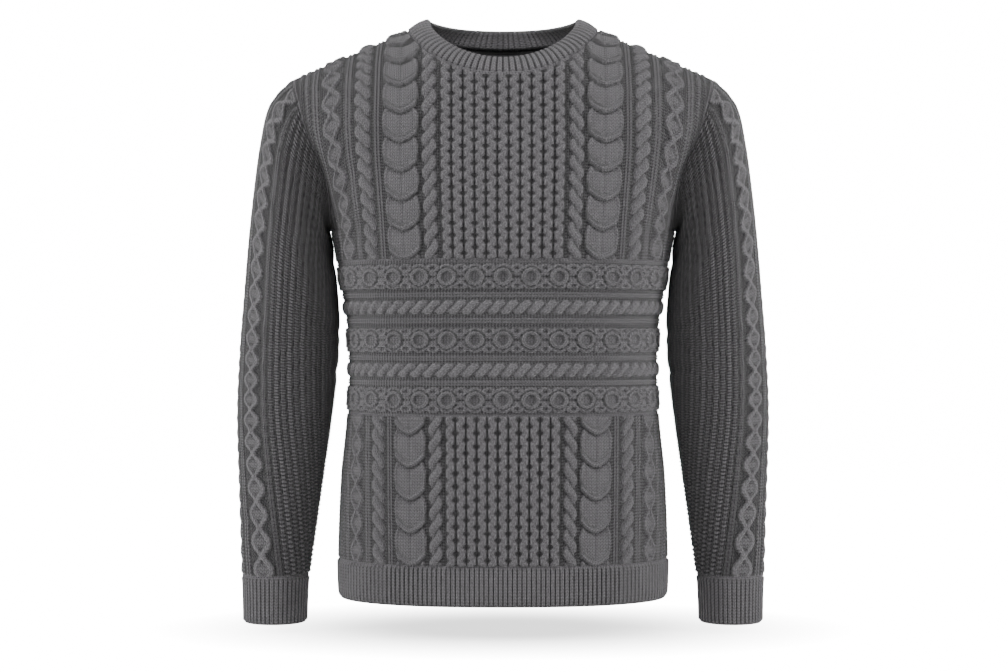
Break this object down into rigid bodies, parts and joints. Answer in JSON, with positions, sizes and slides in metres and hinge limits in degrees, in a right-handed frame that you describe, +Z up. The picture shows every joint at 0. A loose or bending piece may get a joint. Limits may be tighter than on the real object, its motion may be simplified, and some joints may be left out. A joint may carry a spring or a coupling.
{
  "type": "crew neck cable knit sweater",
  "caption": "Heavy crew neck pullover in cable knit, with a sideways band of cables across the front, in its worn form and hollow.",
  "frame": {"origin": "between the two high shoulder points, where the sweater hangs on its wearer", "axes": "+X to the wearer's left, +Y to the back, +Z up"},
  "size_m": [0.6248, 0.2573, 0.7062],
  "materials": {
    "knit": "thick cable knit in mid grey marled wool",
    "rib": "ribbed knit in mid grey marled wool",
    "label": "plain dark woven label"
  },
  "bodies": {
    "root": {"front_yoke": "knit", "front_band": "knit", "front_lower": "knit", "back": "knit", "sleeve_left": "knit", "sleeve_right": "knit", "cuff_left": "rib", "cuff_right": "rib", "collar": "rib", "hem_front": "rib", "hem_back": "rib", "neck_label": "label"}
  },
  "joints": []
}
